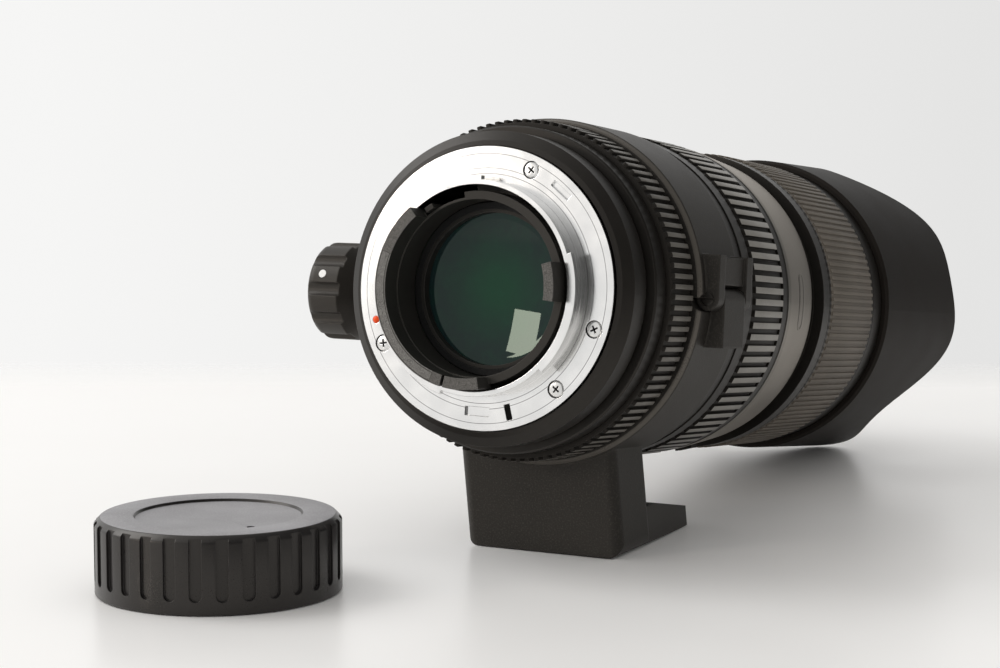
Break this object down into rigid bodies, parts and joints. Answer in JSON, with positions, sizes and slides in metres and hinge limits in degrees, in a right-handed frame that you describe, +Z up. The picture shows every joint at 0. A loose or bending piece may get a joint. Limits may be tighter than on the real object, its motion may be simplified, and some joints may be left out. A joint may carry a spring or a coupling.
{
  "type": "camera zoom lens",
  "caption": "Telephoto zoom lens with bayonet mount, ribbed aperture, zoom and focus rings, hinged tripod collar with clamp knob, petal hood and a rear cap beside it.",
  "frame": {"origin": "mouth of the tripod thread in the sole of the collar's foot, on the table", "axes": "+Z up from the table, +Y toward the front of the lens, +X to the right seen from behind. The optical axis lies in the YZ plane and dips 5.6 degrees toward the front, because the lens rests on its foot and on the edge of its hood"},
  "size_m": [0.1234, 0.3241, 0.1103],
  "materials": {
    "black_shell": "matte black anodised",
    "satin_band": "satin grey",
    "collar_paint": "fine textured black paint",
    "knob_plastic": "matte",
    "white_mark": "matte",
    "bare_steel": "bright",
    "chrome": "satin chrome",
    "index_red": "gloss",
    "guard_plastic": "matte black",
    "gold": "bright",
    "board": "matte",
    "cell_black": "matte black",
    "plain_metal": "plain",
    "brass_pins": "plain",
    "blade_steel": "matte black",
    "coated_glass": "coated",
    "window": "clear",
    "grip_rubber": "matte ribbed",
    "hood_plastic": "matte",
    "cap_plastic": "matte"
  },
  "bodies": {
    "collar": {"collar_base": "collar_paint", "hinge_pin": "bare_steel", "tripod_bush": "bare_steel"},
    "collar_upper": {"collar_upper": "collar_paint"},
    "clamp": {"clamp_knob": "knob_plastic", "clamp_stud": "bare_steel", "knob_dot": "white_mark"},
    "barrel": {"bayonet_mount": "chrome", "mount_screws": "bare_steel", "index_bead": "index_red", "rear_guard": "guard_plastic", "contact_block": "guard_plastic", "contact_pins": "gold", "rear_barrel": "black_shell", "circuit_board": "board", "main_tube": "black_shell", "rear_cell": "cell_black", "rear_element": "coated_glass", "rear_retaining_ring": "guard_plastic", "relay_element": "coated_glass", "iris_housing": "cell_black", "guide_tube": "plain_metal", "scale_band": "satin_band", "distance_window": "window", "front_barrel": "black_shell", "focus_motor": "brass_pins", "front_cell": "cell_black", "second_element": "coated_glass", "front_element": "coated_glass", "filter_ring": "black_shell"},
    "aperture_ring": {"aperture_ring": "grip_rubber"},
    "iris_drive": {"iris_drive_ring": "bare_steel", "aperture_lever": "bare_steel"},
    "zoom": {"zoom_ring": "black_shell", "zoom_grip": "grip_rubber", "zoom_key": "bare_steel", "cam_tube": "plain_metal"},
    "variator": {"variator_cell": "cell_black", "variator_element": "coated_glass", "variator_pins": "brass_pins"},
    "compensator": {"compensator_cell": "cell_black", "compensator_element": "coated_glass", "compensator_pins": "brass_pins"},
    "focus_ring": {"focus_ring": "black_shell", "focus_grip": "grip_rubber"},
    "focus_group": {"focus_cell": "cell_black", "focus_element": "coated_glass", "focus_pins": "brass_pins"},
    "mode_switch": {"mode_switch": "guard_plastic"},
    "hood": {"hood": "hood_plastic"},
    "rear_cap": {"rear_cap": "cap_plastic"},
    "iris_blade_1": {"iris_blade_1": "blade_steel"},
    "iris_blade_2": {"iris_blade_2": "blade_steel"},
    "iris_blade_3": {"iris_blade_3": "blade_steel"},
    "iris_blade_4": {"iris_blade_4": "blade_steel"},
    "iris_blade_5": {"iris_blade_5": "blade_steel"},
    "iris_blade_6": {"iris_blade_6": "blade_steel"},
    "iris_blade_7": {"iris_blade_7": "blade_steel"}
  },
  "joints": [
    {"name": "barrel_rotation", "type": "hinge", "parent": "collar", "child": "barrel", "pos_m": [0, -0.0654, 0.06957], "axis": [0, 0.9952, -0.0976], "continuous": true},
    {"name": "collar_opening", "type": "hinge", "parent": "collar", "child": "collar_upper", "pos_m": [0.04455, -0.02181, 0.0653], "axis": [0, 0.9952, -0.0976], "range_deg": [0, 95]},
    {"name": "knob_turn", "type": "hinge", "parent": "collar_upper", "child": "clamp", "pos_m": [-0.06, -0.022, 0.06331], "axis": [-1, 0, 0], "range_deg": [0, 720]},
    {"name": "aperture_ring_turn", "type": "hinge", "parent": "barrel", "child": "aperture_ring", "pos_m": [0, -0.04221, 0.0673], "axis": [0, 0.9952, -0.0976], "range_deg": [0, 56]},
    {"name": "iris_drive_turn", "type": "hinge", "parent": "barrel", "child": "iris_drive", "pos_m": [0, -0.01564, 0.06469], "axis": [0, 0.9952, -0.0976], "range_deg": [0, 18]},
    {"name": "zoom_ring_turn", "type": "hinge", "parent": "barrel", "child": "zoom", "pos_m": [0, 0.01372, 0.06181], "axis": [0, 0.9952, -0.0976], "range_deg": [0, 75]},
    {"name": "variator_slide", "type": "slide", "parent": "barrel", "child": "variator", "axis": [0, 0.9952, -0.0976], "range_m": [-0.021, 0]},
    {"name": "compensator_slide", "type": "slide", "parent": "barrel", "child": "compensator", "axis": [0, 0.9952, -0.0976], "range_m": [0, 0.005]},
    {"name": "focus_ring_turn", "type": "hinge", "parent": "barrel", "child": "focus_ring", "pos_m": [0, 0.08568, 0.05476], "axis": [0, 0.9952, -0.0976], "range_deg": [0, 120]},
    {"name": "focus_slide", "type": "slide", "parent": "barrel", "child": "focus_group", "axis": [0, 0.9952, -0.0976], "range_m": [0, 0.012]},
    {"name": "mode_switch_slide", "type": "slide", "parent": "barrel", "child": "mode_switch", "axis": [0, 0.9952, -0.0976], "range_m": [0, 0.003]},
    {"name": "hood_twist", "type": "hinge", "parent": "barrel", "child": "hood", "pos_m": [0, 0.11474, 0.05191], "axis": [0, 0.9952, -0.0976], "range_deg": [0, 45]},
    {"name": "rear_cap_lift", "type": "slide", "parent": "collar", "child": "rear_cap", "axis": [0, 0, 1], "range_m": [0, 0.06]},
    {"name": "iris_blade_1_swing", "type": "hinge", "parent": "barrel", "child": "iris_blade_1", "pos_m": [-0.02346, -0.0174, 0.08366], "axis": [0, 0.9952, -0.0976], "range_deg": [0, 30]},
    {"name": "iris_blade_2_swing", "type": "hinge", "parent": "barrel", "child": "iris_blade_2", "pos_m": [-0.02925, -0.01987, 0.0584], "axis": [0, 0.9952, -0.0976], "range_deg": [0, 30]},
    {"name": "iris_blade_3_swing", "type": "hinge", "parent": "barrel", "child": "iris_blade_3", "pos_m": [-0.01302, -0.02186, 0.03814], "axis": [0, 0.9952, -0.0976], "range_deg": [0, 30]},
    {"name": "iris_blade_4_swing", "type": "hinge", "parent": "barrel", "child": "iris_blade_4", "pos_m": [0.01302, -0.02186, 0.03814], "axis": [0, 0.9952, -0.0976], "range_deg": [0, 30]},
    {"name": "iris_blade_5_swing", "type": "hinge", "parent": "barrel", "child": "iris_blade_5", "pos_m": [0.02925, -0.01987, 0.0584], "axis": [0, 0.9952, -0.0976], "range_deg": [0, 30]},
    {"name": "iris_blade_6_swing", "type": "hinge", "parent": "barrel", "child": "iris_blade_6", "pos_m": [0.02346, -0.0174, 0.08366], "axis": [0, 0.9952, -0.0976], "range_deg": [0, 30]},
    {"name": "iris_blade_7_swing", "type": "hinge", "parent": "barrel", "child": "iris_blade_7", "pos_m": [0, -0.01629, 0.0949], "axis": [0, 0.9952, -0.0976], "range_deg": [0, 30]}
  ],
  "couplings": [
    {"joint": "iris_drive_turn", "follows": "aperture_ring_turn", "ratio": 0.3214},
    {"joint": "variator_slide", "follows": "zoom_ring_turn", "m_per_rad": -0.01604},
    {"joint": "compensator_slide", "follows": "zoom_ring_turn", "m_per_rad": 0.003819},
    {"joint": "focus_slide", "follows": "focus_ring_turn", "m_per_rad": 0.005729},
    {"joint": "iris_blade_1_swing", "follows": "aperture_ring_turn", "ratio": 0.5357},
    {"joint": "iris_blade_2_swing", "follows": "aperture_ring_turn", "ratio": 0.5357},
    {"joint": "iris_blade_3_swing", "follows": "aperture_ring_turn", "ratio": 0.5357},
    {"joint": "iris_blade_4_swing", "follows": "aperture_ring_turn", "ratio": 0.5357},
    {"joint": "iris_blade_5_swing", "follows": "aperture_ring_turn", "ratio": 0.5357},
    {"joint": "iris_blade_6_swing", "follows": "aperture_ring_turn", "ratio": 0.5357},
    {"joint": "iris_blade_7_swing", "follows": "aperture_ring_turn", "ratio": 0.5357}
  ]
}
